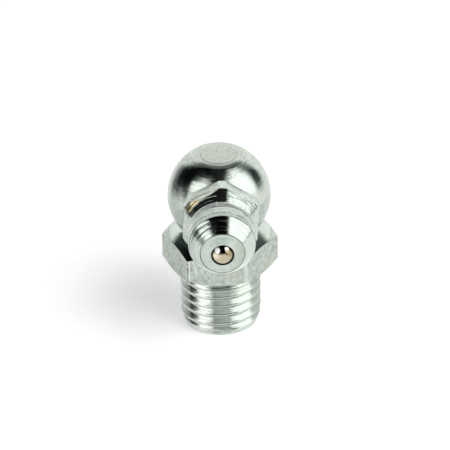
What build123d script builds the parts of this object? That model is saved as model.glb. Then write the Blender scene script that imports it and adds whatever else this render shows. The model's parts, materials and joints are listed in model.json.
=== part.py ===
from build123d import *
import os
from math import acos, cos, radians, sin, sqrt, tan

# An angled grease nipple: a turned body with a threaded shank, a hexagon flange and a ball
# on top, and a nipple fixed into the side of the ball. A small steel ball, pushed outward
# by a coil spring, closes the nipple's mouth.
#
# Frame: millimetres, +Z up along the thread, the nipple points along -Y. The origin is on
# the thread's axis, in the plane of the flange's underside, where the body seats.

# ---- Shank -------------------------------------------------------------------------
shank_length = 6.45          # flange underside to the threaded end
thread_diameter = 7.9        # over the crests of the metric 8 x 1 thread
lead_in_length = 1.05        # tapered start of the thread
end_face_diameter = 7.2
undercut_width = 0.2         # thread run-out groove below the flange
undercut_diameter = 6.8
run_out_length = 0.85        # cone from that groove to the thread's crests

# ---- Hexagon flange ----------------------------------------------------------------
hexagon_sides = 6
flange_flats = 9.94          # spanner size 10
flange_height = 3.45
flange_corner_diameter = 11.4    # the turned bar's diameter just clips the corners
flange_turn = -5.4           # degrees about +Z, from one corner on +X
flange_top_land = 9.25       # flat ring left by the top chamfer, diameter
flange_seat_land = 9.55      # flat ring left by the bottom chamfer, diameter
flange_chamfer_angle = 30.0  # degrees, measured from the flange's plane

# ---- Ball of the body --------------------------------------------------------------
ball_diameter = 10.08
ball_sink = 0.94             # depth of the ball below the flange's top
crown_diameter = 5.0         # flat where the bar was parted off
crown_disc_diameter = 3.45   # the last of the bar stands a little proud of that flat
crown_disc_height = 0.03

# ---- Grease channels in the body ---------------------------------------------------
channel_diameter = 2.6       # up the shank
channel_mouth_diameter = 3.6
channel_overrun = 1.0        # past the ball's centre, to the drill's shoulder
drill_point_angle = 59.0     # degrees, half of the drill's point
cross_channel_diameter = 2.0

# ---- Nipple: outside ---------------------------------------------------------------
seat_distance = 4.19         # thread axis to the spot face under the nipple's hexagon
spot_face_diameter = 7.8
face_distance = 11.1         # thread axis to the nipple's front face
nipple_flats = 7.16          # spanner size 7
nipple_corner_diameter = 7.88    # the six corners are turned off
nipple_turn = 3.7            # degrees about -Y, from one corner straight up
corner_up = 90.0             # turns a corner from the side to straight up
nipple_chamfer_angle = 34.0  # degrees, the cone on the hexagon from the nipple's axis
shoulder_diameter = 6.21     # where that cone ends at the grip groove
head_diameter = 6.5
head_land = 1.08             # straight part of the head's rim
head_lead_length = 0.6       # slight taper between the rim and the cone
head_nose_diameter = 6.4     # where that taper meets the cone
head_cone_angle = 34.0       # degrees, half of the front cone
face_diameter = 4.24
face_edge_break = 0.06       # chamfers along the edges of the head's face and rim
rim_edge_break = 0.05
groove_diameter = 5.0        # grip groove behind the head
groove_floor = 0.366
groove_head_angle = 50.5     # degrees, the head's grip shoulder from the nipple's axis

# ---- Nipple: stem in the body ------------------------------------------------------
stem_diameter = 5.2
stem_length = 2.2
stem_chamfer = 0.25
stem_clearance = 0.02        # radial, filled by the sealant
stem_end_gap = 0.1           # left free behind the stem

# ---- Nipple: mouth, bore and spring seat -------------------------------------------
check_ball_diameter = 2.2
check_ball_recess = 0.305    # front face to the check ball's centre
mouth_lip_height = 0.25      # rolled rim that stands proud of the front face
mouth_lip_thickness = 0.063  # at its crest
mouth_lip_angle = 70.9       # degrees, outer slope of the rim from the nipple's axis
mouth_overlap = 0.013        # radial, how much the rolled mouth is narrower than the ball
check_ball_gap = 0.01        # between the check ball and its rolled seat
bore_clearance = 0.08        # radial, check ball to bore
spring_seat_distance = 5.6   # thread axis to the shoulder under the spring
spring_channel_diameter = 1.5
stake_cone_length = 0.15     # blends the seat into the bore

# ---- Spring ------------------------------------------------------------------------
wire_diameter = 0.22         # over the corners of the wire's section
wire_sides = 6               # the round wire is drawn with few sides
spring_coil_diameter = 1.6   # mean
spring_turns = 3.5
spring_end_gap = 0.02

# ---- Values that follow ------------------------------------------------------------
shank_radius = thread_diameter / 2
end_face_radius = end_face_diameter / 2
undercut_radius = undercut_diameter / 2
corner_radius = flange_corner_diameter / 2
top_land_radius = flange_top_land / 2
seat_land_radius = flange_seat_land / 2
chamfer_slope = tan(radians(flange_chamfer_angle))
corner_top = flange_height - (corner_radius - top_land_radius) * chamfer_slope
corner_bottom = (corner_radius - seat_land_radius) * chamfer_slope

ball_radius = ball_diameter / 2
ball_height = flange_height + ball_radius - ball_sink
crown_radius = crown_diameter / 2
crown_disc_radius = crown_disc_diameter / 2
crown_height = ball_height + sqrt(ball_radius**2 - crown_radius**2)
disc_top = crown_height + crown_disc_height
root_radius_on_flange = sqrt(ball_radius**2 - (ball_height - flange_height) ** 2)

channel_radius = channel_diameter / 2
channel_top = ball_height + channel_overrun
drill_point = channel_radius / tan(radians(drill_point_angle))
mouth_chamfer = (channel_mouth_diameter - channel_diameter) / 2

stem_radius = stem_diameter / 2
stem_end = seat_distance - stem_length
socket_radius = stem_radius + stem_clearance
socket_end = stem_end - stem_end_gap

nipple_corner_radius = nipple_corner_diameter / 2
shoulder_radius = shoulder_diameter / 2
groove_radius = groove_diameter / 2
head_radius = head_diameter / 2
nose_radius = head_nose_diameter / 2
face_radius = face_diameter / 2
cone_back = face_distance - (nose_radius - face_radius) / tan(radians(head_cone_angle))
head_front = cone_back - head_lead_length
head_back = head_front - head_land
groove_front = head_back - (head_radius - groove_radius) / tan(radians(groove_head_angle))
hex_end = groove_front - groove_floor
chamfer_reach = nipple_corner_radius - shoulder_radius
hex_front = hex_end - chamfer_reach / tan(radians(nipple_chamfer_angle))

check_radius = check_ball_diameter / 2
check_centre = face_distance - check_ball_recess
seat_radius = check_radius + check_ball_gap
lip_crest = face_distance + mouth_lip_height
mouth_radius = check_radius - mouth_overlap
seat_wrap = acos(mouth_radius / seat_radius)
lip_outer = mouth_radius + mouth_lip_thickness
lip_foot = lip_outer + mouth_lip_height * tan(radians(mouth_lip_angle))
bore_radius = check_radius + bore_clearance
spring_channel_radius = spring_channel_diameter / 2

wire_radius = wire_diameter / 2
coil_radius = spring_coil_diameter / 2
wire_reach = check_radius + wire_radius + spring_end_gap
spring_front = check_centre - sqrt(wire_reach**2 - coil_radius**2)
spring_back = spring_seat_distance + wire_radius + spring_end_gap
spring_pitch = (spring_front - spring_back) / spring_turns

nipple_axis = Plane(origin=(0, 0, ball_height), x_dir=(1, 0, 0), z_dir=(0, -1, 0))
nipple_section = Plane(origin=(0, 0, ball_height), x_dir=(1, 0, 0), z_dir=(0, 0, -1))
nipple_line = Axis((0, 0, ball_height), (0, -1, 0))

os.makedirs("parts", exist_ok=True)


# ---- Body: shank, flange and ball turned from one hexagon bar ------------------------
with BuildPart() as elbow_body:
    # The flange keeps the bar's six flats.
    with BuildSketch(Plane.XY):
        RegularPolygon(flange_flats / 2, hexagon_sides, major_radius=False, rotation=flange_turn)
    extrude(amount=flange_height)
    # Turning leaves a chamfer above and below and just clips the six corners.
    with BuildSketch(Plane.XZ):
        with BuildLine():
            Polyline(
                (0, 0),
                (seat_land_radius, 0),
                (corner_radius, corner_bottom),
                (corner_radius, corner_top),
                (top_land_radius, flange_height),
                (0, flange_height),
                close=True,
            )
        make_face()
    revolve(axis=Axis.Z, mode=Mode.INTERSECT)
    # The shank hangs below, with its run-out groove and tapered lead-in.
    with BuildSketch(Plane.XZ):
        with BuildLine():
            Polyline(
                (0, 0),
                (undercut_radius, 0),
                (undercut_radius, -undercut_width),
                (shank_radius, -undercut_width - run_out_length),
                (shank_radius, lead_in_length - shank_length),
                (end_face_radius, -shank_length),
                (0, -shank_length),
                close=True,
            )
        make_face()
    revolve(axis=Axis.Z)
    # The ball stands straight on the flange and ends in the parted-off crown.
    with BuildSketch(Plane.XZ):
        with BuildLine():
            Line((0, flange_height), (root_radius_on_flange, flange_height))
            ThreePointArc(
                (root_radius_on_flange, flange_height),
                (ball_radius, ball_height),
                (crown_radius, crown_height),
            )
            Polyline(
                (crown_radius, crown_height),
                (crown_disc_radius, crown_height),
                (crown_disc_radius, disc_top),
                (0, disc_top),
                (0, flange_height),
            )
        make_face()
    revolve(axis=Axis.Z)
    # Spot face and socket for the nipple, in the side of the ball.
    with BuildSketch(nipple_axis.offset(seat_distance)):
        Circle(spot_face_diameter / 2)
    extrude(amount=ball_radius - seat_distance, mode=Mode.SUBTRACT)
    with BuildSketch(nipple_axis.offset(socket_end)):
        Circle(socket_radius)
    extrude(amount=seat_distance - socket_end, mode=Mode.SUBTRACT)
    # Grease comes up the shank and turns through a cross channel into the socket.
    with BuildSketch(Plane.XZ):
        with BuildLine():
            Polyline(
                (0, -shank_length),
                (channel_radius + mouth_chamfer, -shank_length),
                (channel_radius, mouth_chamfer - shank_length),
                (channel_radius, channel_top),
                (0, channel_top + drill_point),
                close=True,
            )
        make_face()
    revolve(axis=Axis.Z, mode=Mode.SUBTRACT)
    with BuildSketch(nipple_axis):
        Circle(cross_channel_diameter / 2)
    extrude(amount=socket_end, mode=Mode.SUBTRACT)

elbow_body.part.label = "elbow_body"
export_step(elbow_body.part, "parts/elbow_body.step")


# ---- Nipple: hexagon, neck and conical head, with the rolled mouth -------------------
# Its turned forms are drawn in a plane through the nipple's axis, where the first number
# is the radius and the second the distance from the thread's axis.
with BuildPart() as nipple_insert:
    with BuildSketch(nipple_axis.offset(seat_distance)):
        RegularPolygon(
            nipple_flats / 2,
            hexagon_sides,
            major_radius=False,
            rotation=corner_up - nipple_turn,
        )
    extrude(amount=hex_end - seat_distance)
    # Its corners are turned off, and its front is a cone that ends in a shoulder.
    with BuildSketch(nipple_section):
        with BuildLine():
            Polyline(
                (0, seat_distance),
                (nipple_corner_radius, seat_distance),
                (nipple_corner_radius, hex_front),
                (shoulder_radius, hex_end),
                (0, hex_end),
                close=True,
            )
        make_face()
    revolve(axis=nipple_line, mode=Mode.INTERSECT)
    # Grip groove for the coupler's jaws, head, and the lip rolled over the ball.
    with BuildSketch(nipple_section):
        with BuildLine():
            Polyline(
                (0, seat_distance),
                (groove_radius, seat_distance),
                (groove_radius, groove_front),
                (head_radius, head_back),
                (head_radius, head_front),
                (nose_radius, cone_back),
                (face_radius, face_distance),
                (lip_foot, face_distance),
                (lip_outer, lip_crest),
                (0, lip_crest),
                close=True,
            )
        make_face()
    revolve(axis=nipple_line)
    rim_edges = (
        nipple_insert.edges()
        .filter_by(GeomType.CIRCLE)
        .filter_by_position(Axis.Y, -head_front, -head_back)
    )
    chamfer(rim_edges, rim_edge_break)
    face_edge = (
        nipple_insert.edges()
        .filter_by(GeomType.CIRCLE)
        .filter_by_position(Axis.Y, -face_distance, -face_distance)
        .sort_by(SortBy.RADIUS)[-1]
    )
    chamfer(face_edge, face_edge_break)
    # The stem sits in the body's socket.
    with BuildSketch(nipple_section):
        with BuildLine():
            Polyline(
                (0, seat_distance),
                (stem_radius, seat_distance),
                (stem_radius, stem_end + stem_chamfer),
                (stem_radius - stem_chamfer, stem_end),
                (0, stem_end),
                close=True,
            )
        make_face()
    revolve(axis=nipple_line)
    # One bore from the mouth to the spring's shoulder, then the grease channel. The seat
    # inside the lip follows the check ball.
    with BuildSketch(nipple_section):
        with BuildLine():
            Polyline(
                (0, lip_crest),
                (0, stem_end),
                (spring_channel_radius, stem_end),
                (spring_channel_radius, spring_seat_distance),
                (bore_radius, spring_seat_distance),
                (bore_radius, check_centre - stake_cone_length),
                (seat_radius, check_centre),
            )
            ThreePointArc(
                (seat_radius, check_centre),
                (
                    seat_radius * cos(seat_wrap / 2),
                    check_centre + seat_radius * sin(seat_wrap / 2),
                ),
                (mouth_radius, check_centre + seat_radius * sin(seat_wrap)),
            )
            Polyline(
                (mouth_radius, check_centre + seat_radius * sin(seat_wrap)),
                (mouth_radius, lip_crest),
                (0, lip_crest),
            )
        make_face()
    revolve(axis=nipple_line, mode=Mode.SUBTRACT)

nipple_insert.part.label = "nipple_insert"
export_step(nipple_insert.part, "parts/nipple_insert.step")


# ---- Check ball, resting against the rolled lip --------------------------------------
with BuildPart(nipple_axis.offset(check_centre)) as check_ball:
    Sphere(check_radius)

check_ball.part.label = "check_ball"
export_step(check_ball.part, "parts/check_ball.step")


# ---- Spring between the bore's shoulder and the check ball ---------------------------
with BuildPart() as spring:
    with BuildLine() as wire_path:
        Helix(
            pitch=spring_pitch,
            height=spring_front - spring_back,
            radius=coil_radius,
            center=(0, -spring_back, ball_height),
            direction=(0, -1, 0),
        )
    with BuildSketch(Plane(origin=wire_path.line @ 0, z_dir=wire_path.line % 0)):
        RegularPolygon(wire_radius, wire_sides)
    sweep(path=wire_path.line, is_frenet=True)

spring.part.label = "spring"
export_step(spring.part, "parts/spring.step")
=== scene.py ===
"""An angled grease nipple of zinc-plated steel: its finished surfaces, materials and stage."""

import json
import math

import bmesh
import bpy
import numpy as np
from bpy.props import FloatProperty, FloatVectorProperty, PointerProperty
from mathutils import Matrix, Vector


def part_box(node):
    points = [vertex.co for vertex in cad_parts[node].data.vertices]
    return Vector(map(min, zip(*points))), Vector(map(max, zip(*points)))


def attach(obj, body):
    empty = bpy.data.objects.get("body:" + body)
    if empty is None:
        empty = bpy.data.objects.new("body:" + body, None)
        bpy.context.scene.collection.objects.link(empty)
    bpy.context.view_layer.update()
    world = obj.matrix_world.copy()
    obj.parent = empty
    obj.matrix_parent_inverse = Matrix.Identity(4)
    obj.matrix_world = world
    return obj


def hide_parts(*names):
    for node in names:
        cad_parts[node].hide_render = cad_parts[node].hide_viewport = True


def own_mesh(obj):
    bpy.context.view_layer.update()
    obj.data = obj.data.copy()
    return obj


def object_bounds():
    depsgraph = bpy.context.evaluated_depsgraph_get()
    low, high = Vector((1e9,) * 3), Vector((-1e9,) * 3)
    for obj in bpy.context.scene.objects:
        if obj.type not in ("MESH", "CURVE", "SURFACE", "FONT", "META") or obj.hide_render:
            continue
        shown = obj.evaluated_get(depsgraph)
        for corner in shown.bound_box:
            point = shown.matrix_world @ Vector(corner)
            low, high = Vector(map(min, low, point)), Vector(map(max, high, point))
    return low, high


bl_info = {
    "name": "Angled grease nipple",
    "version": (1, 0),
    "blender": (4, 5, 0),
    "location": "View3D > Sidebar > Nipple",
    "description": "Builds the finished surfaces of an angled grease nipple and its stage",
    "category": "Add Mesh",
}

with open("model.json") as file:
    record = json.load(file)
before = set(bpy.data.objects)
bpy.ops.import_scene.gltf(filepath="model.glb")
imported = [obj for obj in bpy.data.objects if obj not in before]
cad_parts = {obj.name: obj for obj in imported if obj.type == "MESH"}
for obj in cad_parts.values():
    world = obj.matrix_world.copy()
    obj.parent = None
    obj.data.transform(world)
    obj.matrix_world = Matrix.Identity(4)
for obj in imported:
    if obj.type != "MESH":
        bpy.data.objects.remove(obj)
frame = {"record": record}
CAD_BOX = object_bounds()
BODY_LOW, BODY_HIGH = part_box("elbow_body")
INSERT_LOW, INSERT_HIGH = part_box("nipple_insert")
BALL_LOW, BALL_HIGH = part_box("check_ball")
SPRING_LOW, SPRING_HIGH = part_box("spring")
MOUNTS = {mount["name"]: mount for mount in frame["record"]["mounts"]}

MM = 0.001
FULL_TURN = 2 * math.pi
SIXTH = FULL_TURN / 6
FRONT = -FULL_TURN / 4  # the side that the nipple is on, about +Z from +X
THREAD_RADIUS = MOUNTS["thread"]["dims"]["r_mm"] * MM
HEAD_RADIUS = MOUNTS["nipple_head"]["dims"]["r_mm"] * MM
NIPPLE_HEIGHT = MOUNTS["nipple_head"]["pos_m"][2]
BALL_DISTANCE = -(BALL_LOW.y + BALL_HIGH.y) / 2
PICTURE_SIDE = 450
SENSOR = 36.0
CLIP = (0.01, 20.0)
MICROMETRE = 1e-6
TURNS_BELOW = 20.0  # whole turns that keep the thread's count above zero
WELD = 1e-7

BODY_COLUMNS = 220
INSERT_COLUMNS = 240
BALL_ROWS = 90
CROWN_ROWS = 13
ROUND_STEPS = 4
MOST_REACH = 0.45  # largest share of a side that a rounding takes
THREAD_STEPS = 3
LEAST_FACING = 0.1  # cosine below which the spot face is out of the ball's reach
MOUTH_STEP = 0.02 * MM  # length of the step from the nipple's mouth to its bore
FLOOR_ROWS = 9
BEND_ROWS = 17

# what a rise and a step to the back add to a height as the camera sees it
SEEN_UP, SEEN_BACK = 0.8548, 0.519
BALL_SEEN = 6.454  # height of the ball's middle as the camera sees it, in millimetres
MOUTH_DROP = 0.3  # how far the check ball's visible middle lies below its own, in millimetres

# the flange's chamfers, and height + slope * radius where they meet its flats, in millimetres
CHAMFER_SLOPE = 0.577
TOP_EDGE, LOW_EDGE = 6.10, 2.74
# marks on the front flat: start, end (x, z) and width, in millimetres
SCRATCHES = (((-2.74, 2.78), (-2.36, 1.31), 0.16), ((-1.97, 1.99), (-1.49, 0.86), 0.12))
DOT = ((-1.26, 0.96), (-1.22, 0.90), 0.14)
# painted highlights on the check ball: middle and half sizes (x, height in view), in millimetres
BALL_HIGHLIGHTS = (((-0.52, 0.46), (0.27, 0.34)), ((0.40, 0.64), (0.20, 0.18)))

# cards of the stage: two ends of the lower edge (x, y), top edge's height and lean along x
CARDS = {
    "right_card": ((0.76, 0.06), (0.76, 0.5), 0.55, -0.61),
    "left_card": ((-0.8, -0.1), (-0.8, 0.6), 0.25, 0),
    "front_card": ((-0.2, -0.59), (0.2, -0.59), 0.16, 0),
    "low_card": ((-0.8, -0.6), (-0.8, -0.15), 0.14, 0),
}
# lamps of the stage: centre and two sides
RIGHT_SOFTBOX = ((0.445, -0.24, 0.252), (0, 0.60, 0), (-0.51, 0, 0.484))
FILL_SOFTBOX = ((0.34, -0.34, 0.58), (0.36, 0.36, 0), (-0.261, 0.261, 0.306))
# the left cloth on a map of the sky, and how far away it hangs
LEFT_CLOTH = (
    ((-0.66, -0.09), (-0.43, -0.06)),
    ((-0.76, -0.36), (-0.19, -0.29)),
    ((-0.74, -0.64), (-0.38, -0.58)),
)
CLOTH_DISTANCE = 0.5


def number(name, description, value, **kind):
    """A property that holds a number."""
    return FloatProperty(name=name, description=description, default=value, **kind)


def length(name, description, millimetres):
    """A property that holds a length, with its default given in millimetres."""
    return number(name, description, millimetres * MM, unit="LENGTH", precision=5)


def angle(name, description, degrees):
    """A property that holds an angle, with its default given in degrees."""
    return number(name, description, math.radians(degrees), subtype="ANGLE")


def colour(name, description, value):
    """A property that holds a colour."""
    return FloatVectorProperty(
        name=name, description=description, default=value, subtype="COLOR", size=3, min=0, max=1
    )


# ---- Sizes and colours ----


class ShankSizes(bpy.types.PropertyGroup):
    """The threaded shank and the grease channel."""

    pitch: length("Pitch", "Rise of the thread in one turn", 1.0)
    phase: length("Phase", "Height of a root on the +X side", -0.2)
    depth: length("Depth", "Depth of the thread", 0.38)
    flank: angle("Flank", "Slope of the thread's flanks from the axis", 46.0)
    crest: length("Crest", "Width of the thread's crest", 0.14)
    soft: length("Thread rounding", "Radius of the thread's crests and roots", 0.12)
    groove_radius: length("Groove radius", "Radius of the run-out groove", 3.4)
    end_radius: length("End radius", "Radius of the end face", 3.6)
    lead_in: length("Lead-in", "Length of the tapered start", 1.05)
    groove: length("Run-out groove", "Width of the groove below the flange", 0.2)
    run_out: length("Run-out", "Height of the cone above it", 0.85)
    channel_radius: length("Channel radius", "Radius of the grease channel", 1.3)
    mouth_radius: length("Mouth radius", "Radius of its countersunk mouth", 1.8)
    channel_overrun: length("Channel overrun", "Channel above the ball's centre", 1.0)
    drill_point: length("Drill point", "Height of the cone at the channel's end", 0.78)


class FlangeSizes(bpy.types.PropertyGroup):
    """The hexagon flange."""

    apothem: length("Apothem", "Axis to a flat", 4.97)
    height: length("Height", "Height of the flange", 3.45)
    top_land: length("Top land", "Radius of the flat top", 4.625)
    seat_land: length("Seat land", "Radius of the flat underside", 4.775)
    corner_radius: length("Corner radius", "Axis to the turned-off corners", 5.68)
    edge_round: length("Edge rounding", "Radius of the turned edges", 0.06)
    turn: angle("Turn", "One corner from +X, about +Z", -5.4)
    chamfer: angle("Chamfer", "Slope of the chamfers", 30.0)


class BallSizes(bpy.types.PropertyGroup):
    """The body's ball and its parted-off crown."""

    radius: length("Radius", "Radius of the ball", 5.04)
    spot_face: length("Spot face", "Axis to the flat behind the nipple", 4.19)
    root_round: length("Root rounding", "Radius between ball and flange", 0.15)
    crown_radius: length("Crown radius", "Where the ball bends over to its flat", 2.65)
    disc_radius: length("Disc radius", "Radius of the raised disc", 1.725)
    disc_height: length("Disc height", "Height of the raised disc", 0.03)


class InsertSizes(bpy.types.PropertyGroup):
    """The nipple: distances run along -Y from the thread's axis."""

    apothem: length("Apothem", "Axis to a flat of the hexagon", 3.58)
    corner_radius: length("Corner radius", "Axis to the turned-off corners", 3.94)
    turn: angle("Turn", "One corner from straight up, about -Y", 3.7)
    seat: length("Seat", "Back of the hexagon", 4.17)
    shoulder: length("Shoulder", "Front end of the hexagon's cone", 6.835)
    shoulder_radius: length("Shoulder radius", "Radius of that end", 3.105)
    cone: angle("Cone", "Slope of both cones from the axis", 34.0)
    neck_radius: length("Neck radius", "Radius of the grip groove", 2.5)
    neck_back: length("Neck back", "Back edge of the groove's floor", 6.875)
    neck_front: length("Neck front", "Front edge of the groove's floor", 7.2)
    head_back: length("Head back", "Back edge of the head's rim", 7.818)
    head_front: length("Head front", "Front edge of the head's rim", 8.9)
    nose_radius: length("Nose radius", "Radius where the front cone starts", 3.2)
    face_radius: length("Face radius", "Radius of the front face", 2.12)
    face: length("Face", "Front face", 11.1)
    lip_foot: length("Lip foot", "Radius of the lip at the face", 1.87)
    lip_outer: length("Lip crest", "Outer radius of the lip's crest", 1.15)
    mouth_radius: length("Mouth", "Radius of the mouth", 1.087)
    mouth_end: length("Mouth end", "Where the mouth opens into the bore", 10.99)
    bore_radius: length("Bore radius", "Radius of the bore", 1.18)
    spring_seat: length("Spring seat", "Shoulder under the spring", 5.6)
    channel_radius: length("Channel radius", "Radius behind the spring's shoulder", 0.75)
    stem_radius: length("Stem radius", "Radius of the stem in the body", 2.6)
    stem_chamfer: length("Stem chamfer", "Chamfer at the stem's end", 0.25)
    edge_round: length("Edge rounding", "Radius of the turned edges", 0.05)


class SpringSizes(bpy.types.PropertyGroup):
    """The spring behind the check ball."""

    travel: length("Travel", "Most that the ball pushes it back", 1.0)
    wire_radius: length("Wire radius", "Radius of the spring's wire", 0.11)
    coil_radius: length("Coil radius", "Mean radius of the coil", 0.8)
    turns: number("Turns", "Turns of the coil", 3.5)


class Finishes(bpy.types.PropertyGroup):
    """Colours of the metals, and how rough they are."""

    zinc: colour("Zinc", "Bright zinc plate", (0.54, 0.60, 0.55))
    light: colour("Light zinc", "Zinc plate where it is burnished", (0.66, 0.69, 0.66))
    # also the painted highlights on the flange's corners, the thread's left side and the nipple's
    # neck
    bright: colour("Bright zinc", "Zinc plate where it is rubbed bare", (0.80, 0.83, 0.80))
    warm: colour("Warm zinc", "Zinc plate where its film is yellowish", (0.60, 0.59, 0.48))
    dull: colour("Dull zinc", "Zinc plate where it is dull", (0.34, 0.37, 0.28))
    yellow: colour("Yellow zinc", "Zinc plate where its film is thick", (0.72, 0.60, 0.36))
    # also painted shade on the ball's lower part, round the cap's disc and at the nipple's rim and
    # lip
    dark: colour("Dark zinc", "Zinc plate in pits and scratches", (0.085, 0.112, 0.10))
    # painted reflection: the grey of the thread's front middle
    reflected_grey: colour("Grey zinc", "Film in the front of the thread", (0.42, 0.50, 0.45))
    # also painted shade and dark reflections on the ball, cap, flange, thread, nipple and check
    # ball
    soot_and_shade: colour("Soot", "Dirt in corners", (0.013, 0.024, 0.022))
    ball: colour("Ball", "Polished check ball", (0.50, 0.44, 0.31))
    # painted highlight: the lighter left of the check ball
    ball_lit_side: colour("Bright ball", "The ball where it is wiped clean", (0.80, 0.74, 0.60))
    white: colour("White", "The ball's brightest spots", (0.98, 0.96, 0.90))
    # also painted shade: the brown patch on the check ball's right
    film: colour("Film", "Brown film of grease on the ball", (0.30, 0.24, 0.12))
    spring: colour("Spring", "Drawn wire", (0.45, 0.46, 0.47))
    body_roughness: number("Body", "Roughness of the body", 0.16)
    insert_roughness: number("Nipple", "Its roughness", 0.13)
    ball_roughness: number("Ball", "Roughness of the ball", 0.10)


class StageSizes(bpy.types.PropertyGroup):
    """Camera, paper, dark room and lamps."""

    distance: length("Distance", "Camera to the object", 350.0)
    aim_height: length("Aim height", "Height that the camera looks at", 4.0)
    focal_pixels: number("Focal", "Focal length in pixels", 3589.8)
    elevation: angle("Elevation", "Camera above the horizon", 31.266)
    azimuth: angle("Azimuth", "Camera round the object from -Y", -1.24)
    yaw: angle("Yaw", "Camera turned to the right", 0.086)
    roll: angle("Roll", "Camera turned about its own axis", -0.942)
    paper: colour("Paper", "Colour of the paper sweep", (0.86, 0.86, 0.86))
    paper_lift: number("Lift", "Light of the floor's own", 0.33)
    wall_lift: number("Wall lift", "Light of the wall's own", 0.42)
    paper_half: length("Paper's half width", "Half of the paper's width", 345.0)
    paper_front: length("Paper's front", "Front edge of the paper", -600.0)
    paper_rise: length("Front rise", "Height of the paper's turned-up front", 170.0)
    paper_bend: length("Bend", "Where the paper starts to rise", 210.0)
    paper_bend_radius: length("Bend radius", "Radius of the paper's bend", 50.0)
    paper_height: length("Paper's height", "Height of the paper's top", 520.0)
    room_radius: length("Room", "Radius of the dark room", 1200.0)
    room: colour("Room colour", "Colour of the dark room", (0.003, 0.003, 0.003))
    room_lift: number("Room lift", "Its own light", 0.014)
    right_card: colour("Right card", "Light of the dim card on the right", (0.21, 0.25, 0.24))
    left_card: colour("Left card", "Light of the dim card on the left", (0.07, 0.085, 0.08))
    right_lamp: number("Right lamp", "Its radiance", 1.8)
    left_lamp: number("Left lamp", "Its radiance", 1.7)
    fill_lamp: number("Fill", "Its radiance", 3.9)
    low_card: colour("Low card", "Light of the low card on the left", (0.60, 0.62, 0.60))
    front_card: colour("Front card", "Light of the card behind the camera", (0.95, 1.0, 0.97))


# ---- Meshes ----


def stacked(*parts):
    """Places from their parts, which are numbers or arrays that spread over each other."""
    return np.stack(np.broadcast_arrays(*parts), axis=-1)


def bend(start, corner, end, t):
    """The curve (1-t)^2 A + 2t(1-t) B + t^2 C from A to C, drawn towards B."""
    return (1 - t) ** 2 * start + 2 * t * (1 - t) * corner + t**2 * end


def rounded(corners, radii, steps=ROUND_STEPS):
    """Rounds the inner corners of profiles. corners[k, c] is corner k of column c.

    Each corner B becomes a bend whose ends A and C lie on its two sides,
    radius * tan(half of the turn) away from it.
    """
    rows = [corners[0]]
    t = np.linspace(0, 1, steps + 1)[:, None, None]
    for k in range(1, len(corners) - 1):
        if radii[k] <= 0:
            rows.append(corners[k])
            continue
        sides = corners[[k - 1, k + 1]] - corners[k]
        lengths = np.linalg.norm(sides, axis=2, keepdims=True)
        sides = sides / lengths
        cosine = np.clip(-(sides[0] * sides[1]).sum(1, keepdims=True), -1, 1)
        reach = radii[k] * np.tan(np.arccos(cosine) / 2)
        start, end = corners[k] + sides * np.minimum(reach, MOST_REACH * lengths.min(0))
        rows.extend(bend(start, corners[k], end, t))
    rows.append(corners[-1])
    return np.array(rows)


def columns_of(corners, angles):
    """Profile corners as an array [corner, column, 2], from pairs of numbers or of columns."""
    return np.array([stacked(*corner, 0 * angles)[..., :2] for corner in corners])


def hexagon_radius(angles, sizes):
    """Distance from the axis to a hexagon whose corners are turned off.

    The smaller of apothem / cos(angle from the flat's middle) and the corners' radius.
    """
    from_corner = (angles - sizes.turn + SIXTH / 2) % SIXTH - SIXTH / 2
    return np.minimum(sizes.apothem / np.cos(SIXTH / 2 - np.abs(from_corner)), sizes.corner_radius)


def hexagon_angles(count, sizes):
    """Angles of the columns: evenly spaced, with more of them where a flat meets a corner."""
    half = SIXTH / 2 - math.acos(sizes.apothem / sizes.corner_radius)
    offsets = np.array([-1.35, -1.1, -1, -0.9, -0.5, 0, 0.5, 0.9, 1, 1.1, 1.35]) * half
    corners = (sizes.turn + SIXTH * np.arange(7)[:, None] + offsets).ravel()
    even = np.linspace(0, FULL_TURN, count + 1)
    gap = np.abs((even[:, None] - corners[None] + math.pi) % FULL_TURN - math.pi).min(1)
    kept = even[(gap > half / 4) | (even == 0) | (even == FULL_TURN)]
    corners = corners % FULL_TURN
    return np.unique(np.concatenate([kept, corners[corners > 0]]).round(9))


def grid_mesh(name, points):
    """A mesh of the quads between neighbouring rows and columns of a grid of points."""
    rows, columns = points.shape[:2]
    index = np.arange(rows * columns).reshape(rows, columns)
    quads = stacked(index[:-1, :-1], index[:-1, 1:], index[1:, 1:], index[1:, :-1])
    mesh = bpy.data.meshes.new(name)
    mesh.from_pydata(points.reshape(-1, 3).tolist(), [], quads.reshape(-1, 4).tolist())
    return mesh


def add_object(name, data):
    """An object with that data, in the scene."""
    made = bpy.data.objects.new(name, data)
    bpy.context.scene.collection.objects.link(made)
    return made


def closed_object(name, points, sharp=28.0):
    """A closed surface from a grid of points[row, column], whose first and last columns meet.

    Points in one place are made one, which closes the seam and the poles, and the faces are
    turned outwards.
    """
    mesh = grid_mesh(name, points)
    work = bmesh.new()
    work.from_mesh(mesh)
    bmesh.ops.remove_doubles(work, verts=work.verts, dist=WELD)
    bmesh.ops.dissolve_degenerate(work, edges=work.edges, dist=WELD)
    bmesh.ops.recalc_face_normals(work, faces=work.faces)
    if work.calc_volume(signed=True) < 0:
        bmesh.ops.reverse_faces(work, faces=work.faces)
    work.to_mesh(mesh)
    work.free()
    mesh.shade_smooth()
    mesh.set_sharp_from_angle(angle=math.radians(sharp))
    return add_object(name, mesh)


def about_z(profile, angles):
    """Points [row, column, 3] of profiles (radius, height) turned about the thread's axis."""
    radius, height = profile[..., 0], profile[..., 1]
    return stacked(radius * np.cos(angles), radius * np.sin(angles), height)


def about_nipple(profile, angles):
    """Points of profiles (radius, distance) turned about the nipple's axis, from straight up."""
    radius, distance = profile[..., 0], profile[..., 1]
    return stacked(radius * np.sin(angles), -distance, NIPPLE_HEIGHT + radius * np.cos(angles))


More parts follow.
